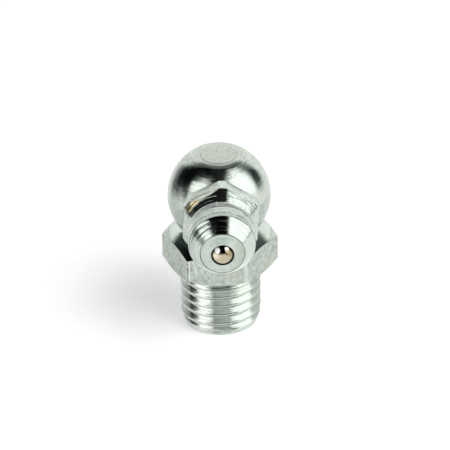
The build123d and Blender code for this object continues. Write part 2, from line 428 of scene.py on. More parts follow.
def thread_profile(shank, end):
    """One turn of the thread's profile and then all of them: rows (radius, rise).

    A root, a sloping flank, a crest and the other flank, with rounded corners.
    """
    flank = shank.depth * math.tan(shank.flank)
    root = shank.pitch - shank.crest - 2 * flank
    root_radius = THREAD_RADIUS - shank.depth
    rises = np.cumsum([0, root / 2, flank, shank.crest, flank, root / 2])
    radii = [root_radius] * 2 + [THREAD_RADIUS] * 2 + [root_radius] * 2
    corners = stacked(radii, rises)[:, None, :]
    turn = rounded(corners, [0] + [shank.soft] * 4 + [0], THREAD_STEPS)[:, 0]
    fine = np.linspace(0, len(turn) - 1, 2 * len(turn) - 1)
    turn = stacked(*[np.interp(fine, np.arange(len(turn)), part) for part in turn.T])[:-1]
    first = math.floor((end - shank.phase) / shank.pitch) - 1
    last = math.ceil(-shank.phase / shank.pitch) + 1
    turns = [turn + [0, k * shank.pitch + shank.phase] for k in range(first, last + 1)]
    return np.concatenate(turns)


def thread_rows(shank, angles, end):
    """The thread from the end face to its run-out groove, with rows that follow the helix.

    height = rise + pitch * angle / full turn, kept between the end face and the groove, and
    radius = the smaller of the thread's and the turned blank's at that height.
    """
    profile = thread_profile(shank, end)
    climb = shank.pitch * angles[None] / FULL_TURN
    top = -shank.groove
    height = np.clip(profile[:, 1:] + climb, end, top)
    radius = np.interp(height - climb, profile[:, 1], profile[:, 0])
    blank_heights = [end, end + shank.lead_in, top - shank.run_out, top]
    blank_radii = [shank.end_radius, THREAD_RADIUS, THREAD_RADIUS, shank.groove_radius]
    return stacked(np.minimum(radius, np.interp(height, blank_heights, blank_radii)), height)


def body_points(shank, flange, ball):
    """The whole body as profiles about the thread's axis, from the channel's end to the crown.

    The ball is radius * (cos, sin) of the latitude, kept inside spot face / cos(angle from
    the front). The flange's corners lie on the hexagon, and its chamfers rise with it.
    """
    angles = hexagon_angles(BODY_COLUMNS, flange)
    end, top = BODY_LOW.z, BODY_HIGH.z
    channel_top = NIPPLE_HEIGHT + shank.channel_overrun
    mouth = shank.mouth_radius - shank.channel_radius
    channel = [
        (0, channel_top + shank.drill_point),
        (shank.channel_radius, channel_top),
        (shank.channel_radius, end + mouth),
        (shank.mouth_radius, end),
    ]
    across = hexagon_radius(angles, flange)
    slope = math.tan(flange.chamfer)
    root = math.sqrt(ball.radius**2 - (NIPPLE_HEIGHT - flange.height) ** 2)
    flange_corners = [
        (shank.groove_radius, -shank.groove),
        (shank.groove_radius, 0),
        (flange.seat_land, 0),
        (across, (across - flange.seat_land) * slope),
        (across, flange.height - (across - flange.top_land) * slope),
        (flange.top_land, flange.height),
    ]
    soft = flange.edge_round
    first = -math.asin((NIPPLE_HEIGHT - flange.height) / ball.radius)
    crown_angle = math.acos(ball.crown_radius / ball.radius)
    latitude = np.linspace(first, crown_angle, BALL_ROWS)[1:-1]
    sphere = stacked(ball.radius * np.cos(latitude), NIPPLE_HEIGHT + ball.radius * np.sin(latitude))
    crown = top - ball.disc_height
    disc_foot = ball.disc_radius + ball.disc_height
    over = sphere[-1, 0] - (crown - sphere[-1, 1]) / math.tan(math.pi / 2 - crown_angle)
    t = np.linspace(0, 1, CROWN_ROWS)[:, None]
    crown_rows = bend(sphere[-1], np.array([over, crown]), np.array([disc_foot, crown]), t)
    root_corners = [flange_corners[-1], (root, flange.height), sphere[0]]
    disc_corners = [*crown_rows[-2:], (ball.disc_radius - ball.disc_height, top), (0, top)]
    disc_radii = [0, 0.5 * ball.disc_height, ball.disc_height, 0]
    ball_rows = columns_of(sphere[1:], angles)
    facing = np.cos(angles - FRONT)
    flat = ball.spot_face / np.maximum(facing, LEAST_FACING)
    flat = np.where(facing > LEAST_FACING, flat, np.inf)
    ball_rows[..., 0] = np.minimum(ball_rows[..., 0], flat)
    rows = np.concatenate(
        [
            columns_of(channel, angles),
            thread_rows(shank, angles, end),
            rounded(columns_of(flange_corners, angles), [0, 3 * soft, soft, soft, soft, 0]),
            rounded(columns_of(root_corners, angles), [0, ball.root_round, 0])[1:],
            ball_rows,
            columns_of(crown_rows[1:-2], angles),
            rounded(columns_of(disc_corners, angles), disc_radii),
        ]
    )
    return about_z(rows, angles)


def insert_points(sizes):
    """The whole nipple as profiles about its own axis: a ring that starts and ends in the bore.

    Both cones fall back by 1 / tan(cone) for each step out from the axis.
    """
    angles = hexagon_angles(INSERT_COLUMNS, sizes)
    stem_end, crest = -INSERT_HIGH.y, -INSERT_LOW.y
    across = hexagon_radius(angles, sizes)
    slope = math.tan(sizes.cone)
    front = sizes.shoulder - (across - sizes.shoulder_radius) / slope
    cone_back = sizes.face - (sizes.nose_radius - sizes.face_radius) / slope
    soft = sizes.edge_round
    path = [
        (sizes.channel_radius, sizes.spring_seat, 0),
        (sizes.channel_radius, stem_end, 0),
        (sizes.stem_radius - sizes.stem_chamfer, stem_end, soft),
        (sizes.stem_radius, stem_end + sizes.stem_chamfer, soft),
        (sizes.stem_radius, sizes.seat, 0),
        (across, sizes.seat, soft),
        (across, front, soft),
        (sizes.shoulder_radius, sizes.shoulder, soft),
        (sizes.neck_radius, sizes.neck_back, soft),
        (sizes.neck_radius, sizes.neck_front, soft),
        (HEAD_RADIUS, sizes.head_back, soft),
        (HEAD_RADIUS, sizes.head_front, soft),
        (sizes.nose_radius, cone_back, soft),
        (sizes.face_radius, sizes.face, soft),
        (sizes.lip_foot, sizes.face, 4 * soft),
        (sizes.lip_outer, crest, 0.5 * soft),
        (sizes.mouth_radius, crest, 0.4 * soft),
        (sizes.mouth_radius, sizes.mouth_end, 0),
        (sizes.bore_radius, sizes.mouth_end - MOUTH_STEP, 0),
        (sizes.bore_radius, sizes.spring_seat, 0),
        (sizes.channel_radius, sizes.spring_seat, 0),
    ]
    corners = columns_of([corner[:2] for corner in path], angles)
    return about_nipple(rounded(corners, [corner[2] for corner in path]), angles)


def ball_points(centre, radius, rows=64, columns=96):
    """A ball: radius times (cos a sin b, sin a sin b, cos b) about its centre."""
    around = np.linspace(0, FULL_TURN, columns + 1)[None]
    down = np.linspace(0, math.pi, rows + 1)[:, None]
    ring = radius * np.sin(down)
    return stacked(
        centre.x + ring * np.cos(around),
        centre.y - radius * np.cos(down),
        centre.z + ring * np.sin(around),
    )


def spring_points(sizes, along=180, around=16):
    """A coil of round wire: the circle wire * (cos b, sin b) carried along a helix."""
    start = SPRING_HIGH.y - sizes.wire_radius
    end = SPRING_LOW.y + sizes.wire_radius
    share = np.linspace(0, 1, along)
    share = np.concatenate([[0], share, [1]])
    wire = sizes.wire_radius * np.concatenate([[0], np.ones(along), [0]])[:, None]
    a = share[:, None] * sizes.turns * FULL_TURN
    b = np.linspace(0, FULL_TURN, around + 1)[None]
    reach = sizes.coil_radius + wire * np.cos(b)
    centre = start + (end - start) * share[:, None]
    return stacked(
        reach * np.cos(a), centre + wire * np.sin(b), NIPPLE_HEIGHT + reach * np.sin(a)
    )


# ---- Materials ----


class Wire:
    """A socket of a node tree. Arithmetic on it adds Math nodes."""

    def __init__(self, recipe, socket):
        self.recipe = recipe
        self.socket = socket

    def math(self, operation, *values):
        return self.recipe.add("ShaderNodeMath", {"operation": operation}, dict(enumerate(values)))

    def __add__(self, other):
        return self.math("ADD", self, other)

    def __sub__(self, other):
        return self.math("SUBTRACT", self, other)

    def __rsub__(self, other):
        return self.math("SUBTRACT", other, self)

    def __mul__(self, other):
        return self.math("MULTIPLY", self, other)

    __radd__, __rmul__ = __add__, __mul__

    def __truediv__(self, other):
        return self.math("DIVIDE", self, other)

    def __abs__(self):
        return self.math("ABSOLUTE", self)

    def most(self, other):
        return self.math("MAXIMUM", self, other)

    def root(self):
        return self.math("SQRT", self)

    def fraction(self):
        return self.math("FRACT", self)

    def ramp(self, low, high):
        """0 below low, 1 above high and smooth between them."""
        return self.recipe.add(
            "ShaderNodeMapRange",
            {"interpolation_type": "SMOOTHSTEP", "clamp": True},
            {"Value": self, "From Min": low, "From Max": high},
        )

    def fall(self, low, high):
        """1 below low, 0 above high and smooth between them."""
        return 1 - self.ramp(low, high)

    def band(self, low, high, soft):
        """1 between low and high, and 0 further than soft outside them."""
        return self.ramp(low - soft, low) * self.fall(high, high + soft)

    def line(self, middle, width):
        """1 at the middle, falling to 0 at half of the width on either side."""
        return 1 - abs(self - middle).ramp(0.15 * width, 0.5 * width)


class Recipe:
    """The nodes of a material or a world, and the base colour as it is painted."""

    def __init__(self, owner, base=None):
        owner.use_nodes = True
        self.owner = owner
        self.tree = owner.node_tree
        self.tree.nodes.clear()
        self.base = base

    def add(self, kind, settings=None, sockets=None, output=0):
        """Adds a node, sets it up, then sets or links its sockets, and returns an output."""
        node = self.tree.nodes.new(kind)
        for name, value in (settings or {}).items():
            setattr(node, name, value)
        by_identifier = {socket.identifier: socket for socket in node.inputs}
        for key, value in (sockets or {}).items():
            target = node.inputs[key] if isinstance(key, int) else None
            target = target or by_identifier.get(key) or node.inputs[key]
            if isinstance(value, Wire):
                self.tree.links.new(value.socket, target)
            else:
                target.default_value = value
        found = {socket.identifier: socket for socket in node.outputs}
        if not node.outputs:
            return None
        return Wire(self, found[output] if isinstance(output, str) else node.outputs[output])

    def axes(self):
        """A place of the object, whole and as its three parts, in millimetres."""
        place = self.add("ShaderNodeTexCoord", output="Object")
        apart = self.add("ShaderNodeSeparateXYZ", None, {"Vector": place}, "X")
        node = apart.socket.node
        parts = [Wire(self, node.outputs[name]) * (1 / MM) for name in ("X", "Y", "Z")]
        return self.vector(*parts), *parts

    def vector(self, x, y, z):
        return self.add("ShaderNodeCombineXYZ", None, {"X": x, "Y": y, "Z": z})

    def noise(self, place, scale, detail, rough=0.5):
        """Noise about 0.5 at a place. scale is its repeats per unit, or three of them."""
        if isinstance(scale, tuple):
            parts = {0: place, 1: scale}
            place = self.add("ShaderNodeVectorMath", {"operation": "MULTIPLY"}, parts, "Vector")
            scale = 1.0
        sockets = {"Vector": place, "Scale": scale, "Detail": detail, "Roughness": rough}
        return self.add("ShaderNodeTexNoise", None, sockets)

    def specks(self, place, scale, size):
        """Round specks of about that size at random places: 1 inside and 0 outside."""
        far = self.add("ShaderNodeTexVoronoi", None, {"Vector": place, "Scale": scale})
        return 1 - far.ramp(0.5 * size, size)

    def paint(self, share, colour):
        """Changes the base colour: it stays where share is 0 and is the colour where it is 1."""
        sockets = {"Factor_Float": share, "A_Color": whole(self.base), "B_Color": whole(colour)}
        self.base = self.add("ShaderNodeMix", {"data_type": "RGBA"}, sockets, "Result_Color")

    def turned(self, across, up, along, radius, least=0.05, slant=0.7):
        """The tool's rings on a turned surface: a place whose third part runs along its profile.

        The direction from the axis takes up the first two parts, so that a ring changes
        slowly round the axis and quickly from one ring to the next.
        """
        safe = radius.most(least)
        return self.vector(across / safe, up / safe, along - radius * slant)

    def metal(self, roughness, height=None, **constants):
        """A metal surface, with its relief given in micrometres."""
        sockets = {"Base Color": whole(self.base), "Metallic": 1.0, "Roughness": roughness}
        if height is not None:
            bump = {"Height": height, "Strength": 1.0, "Distance": MICROMETRE}
            sockets["Normal"] = self.add("ShaderNodeBump", None, bump)
        sockets.update({name.replace("_", " "): value for name, value in constants.items()})
        surface = self.add("ShaderNodeBsdfPrincipled", None, sockets)
        self.add("ShaderNodeOutputMaterial", None, {"Surface": surface})
        return self.owner


def whole(value):
    """A colour of three parts with its fourth, and anything else as it is."""
    return (*value, 1.0) if not isinstance(value, Wire) and len(value) == 3 else value


def body_metal(finish, shank):
    """Zinc plate on the turned body: tool rings, frosted cap and dull flats, with painted shade and
    dark reflections on the ball, cap, flange and thread, and painted highlights on the flange's
    corners and the thread.
    """
    recipe = Recipe(bpy.data.materials.new("zinc_body"), finish.zinc)
    paint = recipe.paint
    place, x, y, z = recipe.axes()
    radius = (x * x + y * y).root()
    rings = recipe.turned(x, y, z, radius)
    fine = recipe.noise(rings, (1.8, 1.8, 9.0), 3.0, 0.6)
    broad = recipe.noise(rings, (1.2, 1.2, 2.2), 2.0)
    cloud = recipe.noise(place, 0.55, 3.0, 0.55)
    grain = recipe.noise(place, 6.0, 3.0, 0.6)
    blotch = recipe.noise(place, 2.4, 4.0, 0.65)
    tint = recipe.noise(rings, (1.17, 1.17, 1.04), 2.0)
    scuff = recipe.noise(rings, (3.0, 3.0, 7.0), 3.0, 0.65)

    paint(tint.ramp(0.50, 0.72) * 0.45, finish.warm)

    ball = z.ramp(3.5, 3.7)
    thread = z.fall(-0.3, -0.1)
    # small dark marks and blotches on the ball, denser towards the cap
    clean = y.fall(-2.6, -1.0) * z.fall(11.0, 11.6) * z.ramp(8.0, 9.0)
    worn = ball * (1 - clean)
    marks = scuff.ramp(0.48, 0.70) * worn * (0.3 + 0.35 * z.ramp(8.5, 11.0))
    paint(marks, finish.dark)
    paint(blotch.ramp(0.40, 0.75) * worn * 0.35, finish.dark)
    # painted dark reflections: darker bands down both sides of the ball; painted shade on its lower
    # part
    rise = z * SEEN_UP + y * SEEN_BACK - BALL_SEEN
    ring = (x * x + rise * rise).root()
    near = ball * y.fall(-1.5, 1.5)
    band_left = ring.band(4.05, 4.50, 0.35) * x.fall(-2.8, -1.6) * rise.ramp(-1.3, 1.0)
    band_right = ring.band(3.70, 3.95, 0.35) * x.ramp(1.9, 2.6) * rise.ramp(0.0, 1.6)
    bands = (band_left + band_right * rise.fall(2.0, 2.6)) * rise.fall(2.3, 3.2)
    paint(near * bands * (1.05 - 0.45 * blotch), finish.soot_and_shade)
    # painted dark reflection above the left highlight
    slant = rise - (x + 1.9) * 0.35 + (fine - 0.5) * 0.9 + (blotch - 0.5) * 0.6
    shoulder = slant.ramp(1.0, 1.7) * rise.fall(2.4, 3.0) * x.band(-3.3, -1.0, 0.7)
    paint(near * shoulder * 0.88, finish.soot_and_shade)
    # painted shade: the ball's lower part darker, more on the left
    paint(ball * z.fall(7.5, 8.5) * (0.3 - 0.1 * x.ramp(-3.0, -1.0)), finish.dark)
    # the flats of the hexagon are dull and mottled
    upper = z + radius * CHAMFER_SLOPE
    lower = radius * CHAMFER_SLOPE - z
    rim = radius.ramp(4.85, 4.95)
    flats = upper.fall(TOP_EDGE - 0.06, TOP_EDGE) * lower.fall(LOW_EDGE - 0.06, LOW_EDGE) * rim
    paint(flats * (0.07 + blotch.ramp(0.38, 0.7) * 0.45), finish.dark)
    paint(flats * cloud.ramp(0.5, 0.62) * 0.3, finish.warm)
    # painted highlights along the edges of the turned corners, with painted shade dashed down the
    # middle of the front ones
    side = x.ramp(0.0, 1.0)
    corner = radius.band(5.61, 5.645, 0.01) * (1 - side) * 0.9
    paint(flats * (corner + radius.ramp(5.60, 5.65) * side * 0.4), finish.bright)
    corner_middle_shade = flats * radius.ramp(5.655, 5.67) * (1 - side) * grain.ramp(0.42, 0.55)
    paint(corner_middle_shade * 0.5, finish.dark)
    edge = rim * (upper.line(TOP_EDGE, 0.07) + lower.line(LOW_EDGE, 0.05))
    paint(edge * grain.ramp(0.35, 0.5) * 0.45, finish.dark)
    front = y.fall(-4.7, -4.5)
    first, second = [scratch(x, z, *mark) for mark in SCRATCHES]
    paint(front * (first + second) * 0.8, finish.bright)
    paint(front * scratch(x, z, *DOT) * 0.9, finish.soot_and_shade)
    # frosted, slightly yellow cap with a pitted disc
    cap = z.ramp(11.80, 11.92)
    disc = cap * radius.fall(1.68, 1.78)
    paint(cap * 0.5, finish.light)
    paint(cap * (blotch.ramp(0.45, 0.62) * 0.4 + disc * 0.1), finish.warm)
    paint(cap * grain.ramp(0.50, 0.66) * 0.4, finish.dull)
    pits = recipe.specks(place, 2.6, 0.34) * grain.ramp(0.35, 0.55)
    paint(disc * pits * 0.4, finish.dark)
    paint(disc * grain.ramp(0.48, 0.60) * 0.15, finish.dull)
    # painted shade: a dark line round the disc's edge and, on the front, the ring round the disc
    # darker
    paint(cap * radius.line(1.73, 0.14) * 0.35, finish.dark)
    shade = radius.ramp(1.7, 2.35) * radius.fall(2.6, 2.8) * z.ramp(11.5, 11.7)
    paint(shade * y.fall(-1.7, -0.9) * 0.85, finish.soot_and_shade)
    # painted shade and dark reflection where the ball's foot meets the flange, behind the nipple
    behind = y + (abs(x + 0.1) - 3.6) * 2.0 + 0.2 + (blotch - 0.5) * 0.8
    top = upper.ramp(TOP_EDGE - 0.04, TOP_EDGE + 0.02).most(z.ramp(3.38, 3.43))
    foot = behind.fall(-0.8, 1.2) * top * y.fall(-0.4, 0.0) * z.band(2.7, 3.6, 0.1)
    paint(foot * (0.98 - 0.12 * side), finish.soot_and_shade)
    # painted shade: thin dark lines along the crests and in the roots of the thread
    turns = (y.math("ARCTAN2", y, x) * (1 / FULL_TURN) + 1.0) * -1.0
    turns = (turns + (z - shank.phase / MM) * (MM / shank.pitch) + TURNS_BELOW).fraction()
    lines = (turns.line(0.405, 0.11) + turns.line(0.60, 0.09)) * abs(x).fall(1.2, 1.8)
    # painted reflection: the thread's front middle painted grey and half matte, for the flange's
    # underside that it reflects
    middle = thread * abs(x + 0.05).fall(0.45, 1.15) * y.fall(-1.0, 0.0)
    middle = middle * (1.15 - 0.5 * scuff)
    paint(middle * 0.5, finish.reflected_grey)
    # painted highlight: the left side of the thread, where it reflects the left lamp
    paint(thread * x.fall(-1.2, -0.7) * 0.6, finish.bright)
    paint(thread * lines * grain.ramp(0.30, 0.50) * 0.9, finish.soot_and_shade)

    roughness = (
        finish.body_roughness
        + (fine - 0.5) * 0.10
        + cap * 0.25
        + flats * 0.24
        + foot * 0.15
        + thread * (0.08 + 0.25 * abs(x).ramp(2.9, 3.3))
    )
    turned = (1 - cap) * (1 - flats)
    height = fine * turned * (8.0 + 14.0 * ball) + grain * (cap + flats) * 12.0
    height = height + broad * (8.0 + 6.0 * ball) + blotch * (8.0 - 3.0 * ball)
    return recipe.metal(roughness, height, Metallic=1 - middle * 0.5)


def scratch(across, up, start, end, width):
    """1 along a straight mark between two places on a flat, and 0 off it."""
    reach = math.dist(start, end)
    run, rise = (end[0] - start[0]) / reach, (end[1] - start[1]) / reach
    side = (across - start[0]) * rise - (up - start[1]) * run
    along = (across - start[0]) * run + (up - start[1]) * rise
    return side.line(0.0, width) * along.band(0.0, reach, 0.1)


def spot(across, up, centre, size):
    """1 in the middle of an oval mark, and 0 off it."""
    aside = (across - centre[0]) * (1 / size[0])
    above = (up - centre[1]) * (1 / size[1])
    return 1 - (aside * aside + above * above).ramp(0.4, 1.5)


def insert_metal(finish, sizes):
    """Zinc plate on the nipple, with the tool's rings about the nipple's own axis, and painted
    shade, dark reflections and highlights.
    """
    recipe = Recipe(bpy.data.materials.new("zinc_nipple"), finish.zinc)
    paint = recipe.paint
    place, x, y, z = recipe.axes()
    up = z - NIPPLE_HEIGHT / MM
    distance = y * -1.0
    radius = (x * x + up * up).root()
    rings = recipe.turned(x, up, distance, radius)
    fine = recipe.noise(rings, (1.6, 1.6, 8.0), 3.0, 0.6)
    waves = recipe.noise(rings, (0.7, 0.7, 3.6), 1.0)
    grain = recipe.noise(place, 5.0, 3.0, 0.6)
    blotch = recipe.noise(place, 2.2, 4.0, 0.65)
    tint = recipe.noise(rings, (1.17, 1.17, 1.04), 2.0)
    paint(tint.ramp(0.55, 0.75) * 0.4, finish.warm)
    cone = distance.band(9.45, 11.05, 0.03) * radius.ramp(2.05, 2.15)
    face = distance.ramp(11.0, 11.06)
    paint(blotch.ramp(0.40, 0.75) * 0.45 * (1 - cone) * (1 - face * 0.6), finish.dark)

    # dark lines: tool rings on both cones; painted shade at the rim, round the face and in the
    # lip's mouth, and a painted dark reflection on the front cone
    slope = 1 / math.tan(sizes.cone)
    bevel = (distance + radius * slope).ramp(11.33, 11.40) * distance.band(5.5, 6.85, 0.05)
    neck = distance.band(6.8, 7.85, 0.03)
    head = distance.band(7.8, 9.5, 0.03)
    left = x.fall(-1.4, -0.2)
    cuts = recipe.noise(rings, (0.8, 0.8, 6.5), 1.0).ramp(0.56, 0.64)
    paint(cone * cuts * 0.8 * left, finish.dark)
    # painted dark reflection on the top of the front cone
    dark = cone * x.band(-0.75, 0.40, 0.45) * up.ramp(0.5, 1.0)
    paint(dark * (0.85 - 0.45 * cuts), finish.soot_and_shade)
    dashes = recipe.noise(rings, (3.5, 3.5, 0.5), 1.0).ramp(0.42, 0.55)
    # painted shade: dashed dark lines at the edges of the head's rim
    rim = (distance.line(8.9, 0.24) + distance.line(9.5, 0.12)) * radius.ramp(3.1, 3.15)
    paint(rim * dashes * 0.85, finish.dark)
    paint(head * cuts * 0.45, finish.dark)
    shoulder = distance.band(6.7, 6.9, 0.02) * radius.line(2.9, 0.22)
    paint(shoulder * dashes * 0.7, finish.dark)
    # painted light: the neck painted bright and made partly matte, so that it looks lighter than
    # its dark reflections
    paint(neck, finish.bright)
    paint(neck * fine.ramp(0.50, 0.60) * 0.6, finish.dark)
    paint(head * 0.16, finish.dark)
    # painted shade: dark lines round the face's edge, darker at the bottom, and at the lip's foot
    edge = face * radius.line(2.12, 0.17)
    paint(edge * (0.45 + 0.5 * up.fall(-0.6, 1.0)), finish.soot_and_shade)
    paint(face * radius.line(1.88, 0.06) * 0.2, finish.dark)
    paint(face * (0.03 + x.ramp(0.7, 1.9) * 0.37), finish.dull)
    # painted shade in the gap of the mouth round the check ball
    grease = radius.fall(1.09, 1.13) * distance.ramp(7.0, 7.1)
    paint(grease, finish.soot_and_shade)
    # stains on the upper left flat of the hexagon, and a yellow streak on its cone
    stain = distance.line(5.38, 0.5) * x.band(-2.7, -1.1, 0.2) * up.ramp(2.2, 2.4)
    paint(stain * grain.ramp(0.40, 0.50) * 0.9, finish.dark)
    smear = distance.band(4.6, 5.5, 0.2) * x.fall(-0.6, -0.2) * up.ramp(1.9, 2.2)
    paint(smear * (0.3 + dashes * 0.4), finish.dull)
    lit = distance.band(5.75, 6.25, 0.08) * x.band(-3.2, -2.2, 0.2) * up.band(1.8, 2.9, 0.2)
    paint(lit * 0.9, finish.yellow)

    roughness = (
        finish.insert_roughness + (fine - 0.5) * 0.12 + face * 0.1 + grease * 0.3 + neck * 0.25
    )
    under = up.fall(-2.4, -1.4) * (cone + head + neck).ramp(0.1, 0.9)
    paint(under * 0.8, finish.bright)
    roughness = roughness + under * 0.3
    sunk = distance.band(6.25, 6.85, 0.05) * x.band(-2.9, -0.5, 0.2) * up.ramp(1.0, 1.5)
    height = fine * (1 - face) * 12.0 + cuts * cone * 5.0 + blotch * 12.0 * (1 - face)
    height = height + waves * (cone * 60.0 * x.fall(-1.3, -0.7) + bevel * 40.0) + neck * cuts * 10.0
    height = height - cone * (distance - 10.3) * (75.0 + 90.0 * x.fall(-2.8, 0.6))
    height = height - lit * (distance - 6.0) * 90.0 + sunk * (distance - 6.5) * 170.0
    return recipe.metal(roughness, height, Metallic=1 - neck * 0.35)


def ball_metal(finish):
    """The polished check ball, with faint scratches and a faint brown film, and painted highlights,
    dark reflections and shade.
    """
    recipe = Recipe(bpy.data.materials.new("ball_steel"), finish.ball)
    paint = recipe.paint
    place, x, y, z = recipe.axes()
    up = z - NIPPLE_HEIGHT / MM
    scratches = recipe.noise(place, (3.0, 9.0, 14.0), 2.0)
    cloud = recipe.noise(place, 1.6, 3.0)
    paint(cloud.ramp(0.4, 0.7) * 0.3, finish.film)
    high = up * SEEN_UP + (y + BALL_DISTANCE / MM) * SEEN_BACK + MOUTH_DROP
    # painted highlight: the left of the ball's front lighter
    paint(x.fall(-0.7, 0.1) * high.ramp(-0.6, 0.0), finish.ball_lit_side)
    # painted shade: a dark brown patch on the right of the ball that dims the right lamp's
    # reflection
    film = x.ramp(0.12, 0.45) * high.band(0.0, 0.56, 0.15)
    paint(film.most(x.ramp(0.3, 0.9) * 0.5) * 0.8, finish.film)
    # painted dark reflection: black in the middle of the ball's upper part and round its upper rim
    dark_reflection = x.band(-0.24, 0.20, 0.12) * high.ramp(-0.02, 0.30)
    out = (x * x + high * high).root()
    dark_reflection = dark_reflection.most(out.ramp(0.74, 0.86) * high.ramp(0.1, 0.5) * 0.9)
    paint(dark_reflection, finish.soot_and_shade)
    # painted highlights: two white, partly matte spots where the lamps' reflections lie
    large, small = [spot(x, high, *mark) for mark in BALL_HIGHLIGHTS]
    spots = large + small * 0.9
    paint(spots, finish.white)
    roughness = finish.ball_roughness + (scratches - 0.5) * 0.04 + spots * 0.2
    return recipe.metal(roughness, Metallic=0.78 + dark_reflection * 0.2 - spots * 0.7)


def spring_metal(finish):
    """Drawn spring wire, with the marks of drawing along it."""
    recipe = Recipe(bpy.data.materials.new("spring_steel"), finish.spring)
    place, *_ = recipe.axes()
    marks = recipe.noise(place, (3.0, 20.0, 3.0), 3.0)
    recipe.paint(marks * 0.5, finish.dark)
    return recipe.metal(0.25 + marks * 0.15, marks)


def add_piece(name, points, material, body, node):
    """A closed piece with its material, its body and the node that it stands for."""
    piece = closed_object(name, points)
    piece.data.materials.append(material)
    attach(piece, body)
    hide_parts(node)
    return piece


# ---- Stage ----


def swung(first, second, turn):
    """Two directions at right angles, turned from the first towards the second."""
    c, s = math.cos(turn), math.sin(turn)
    return first * c + second * s, second * c - first * s


def camera_axes(stage):
    """Back, right, up and forward of the camera, from its azimuth, elevation, yaw and roll."""
    a, e = stage.azimuth, stage.elevation
    back = Vector((math.sin(a) * math.cos(e), -math.cos(a) * math.cos(e), math.sin(e)))
    forward = -back
    right = forward.cross(Vector((0, 0, 1))).normalized()
    up = right.cross(forward)
    forward, right = swung(forward, right, stage.yaw)
    right, up = swung(right, up, stage.roll)
    return back, right, up, forward


def add_camera(stage):
    """The camera, which looks at the thread's axis at the aim height."""
    back, right, up, forward = camera_axes(stage)
    data = bpy.data.cameras.new("camera")
    data.sensor_width = SENSOR
    data.lens = stage.focal_pixels * SENSOR / PICTURE_SIDE
    data.clip_start, data.clip_end = CLIP
    camera = add_object("camera", data)
    turn = Matrix((right, up, -forward)).transposed().to_4x4()
    place = Vector((0, 0, stage.aim_height)) + back * stage.distance
    camera.matrix_world = Matrix.Translation(place) @ turn
    bpy.context.scene.camera = camera


def add_lamp(name, centre, along, across, radiance):
    """A flat softbox of that radiance, centre and two sides, which faces the object."""
    first, second = Vector(along), Vector(across)
    data = bpy.data.lights.new(name, "AREA")
    data.shape = "RECTANGLE"
    data.size, data.size_y = first.length, second.length
    data.energy = math.pi * first.length * second.length * radiance
    first.normalize()
    second.normalize()
    if first.cross(second).dot(Vector(centre)) < 0:
        second.negate()
    lamp = add_object(name, data)
    turn = Matrix((first, second, first.cross(second))).transposed().to_4x4()
    lamp.matrix_world = Matrix.Translation(Vector(centre)) @ turn
    return lamp


def stage_piece(name, points, material):
    """A surface of the stage, from a grid of points[row, column]."""
    mesh = grid_mesh(name, points)
    mesh.materials.append(material)
    mesh.shade_smooth()
    piece = add_object(name, mesh)
    return piece


def seen_rays(recipe):
    """1 for rays of the camera, of reflections and of transmission, and 0 for light."""
    path = recipe.add("ShaderNodeLightPath", output="Is Camera Ray")
    rays = path.socket.node.outputs
    return path.most(Wire(recipe, rays["Is Glossy Ray"])).most(
        Wire(recipe, rays["Is Transmission Ray"])
    )


def matte(name, value, lift):
    """A matte stage colour, with a lift that only sight and reflections see."""
    recipe = Recipe(bpy.data.materials.new(name))
    plain = recipe.add("ShaderNodeBsdfDiffuse", None, {"Color": whole(value)})
    glow = recipe.add("ShaderNodeEmission", None, {"Strength": seen_rays(recipe) * lift})
    both = recipe.add("ShaderNodeAddShader", None, {0: plain, 1: glow})
    recipe.add("ShaderNodeOutputMaterial", None, {"Surface": both})
    return recipe.owner


def hang_lamp(name, points, light):
    """A glowing cloth or card of any shape, which the camera doesn't see."""
    recipe = Recipe(bpy.data.materials.new(name))
    strength = max(light)
    tint = tuple(part / strength for part in light)
    glow = recipe.add("ShaderNodeEmission", None, {"Color": whole(tint), "Strength": strength})
    recipe.add("ShaderNodeOutputMaterial", None, {"Surface": glow})
    stage_piece(name, points, recipe.owner).visible_camera = False


def sky_points(places, distance):
    """Points at a distance, from places on a map of the sky seen from below its top.

    The map is stereographic: the top is (0, 0), the horizon is the circle of radius 1, the
    first number runs to the right and the second to the back.
    """
    u, v = np.moveaxis(np.array(places, float), -1, 0)
    q = u**2 + v**2
    return distance * stacked(2 * u, 2 * v, 1 - q) / (1 + q)[..., None]


def floor_points(stage, floor):
    """The paper where it lies flat, rises a little in front and bends up behind the object."""
    turned = np.linspace(0, math.pi / 2, BEND_ROWS)
    radius = stage.paper_bend_radius
    flat = np.linspace(stage.paper_front, stage.paper_bend, FLOOR_ROWS)[:-1]
    y = np.concatenate([flat[:1], flat, stage.paper_bend + radius * np.sin(turned)])
    z = np.concatenate([[stage.paper_rise], 0 * flat, radius * (1 - np.cos(turned))])
    x = np.array([[-stage.paper_half, stage.paper_half]])
    return stacked(x, y[:, None], floor + z[:, None])


def sheet_points(start, end, low, high, lean=0.0):
    """A flat sheet above the line from start to end (x, y), whose top edge leans along x."""
    edges = ((0.0, low), (lean, high))
    return np.array([[(x + shift, y, z) for x, y in (start, end)] for shift, z in edges])


def wall_points(stage, floor):
    """The paper where it hangs straight down behind the object."""
    half, y = stage.paper_half, stage.paper_bend + stage.paper_bend_radius
    low = floor + stage.paper_bend_radius
    return sheet_points((-half, y), (half, y), low, stage.paper_height)


def room_points(radius, rows=32, columns=64):
    """A whole ball round the stage: radius times (cos e cos a, cos e sin a, sin e)."""
    e = np.linspace(-math.pi / 2, math.pi / 2, rows)[:, None]
    a = np.linspace(0, FULL_TURN, columns)[None]
    return radius * stacked(np.cos(e) * np.cos(a), np.cos(e) * np.sin(a), np.sin(e))


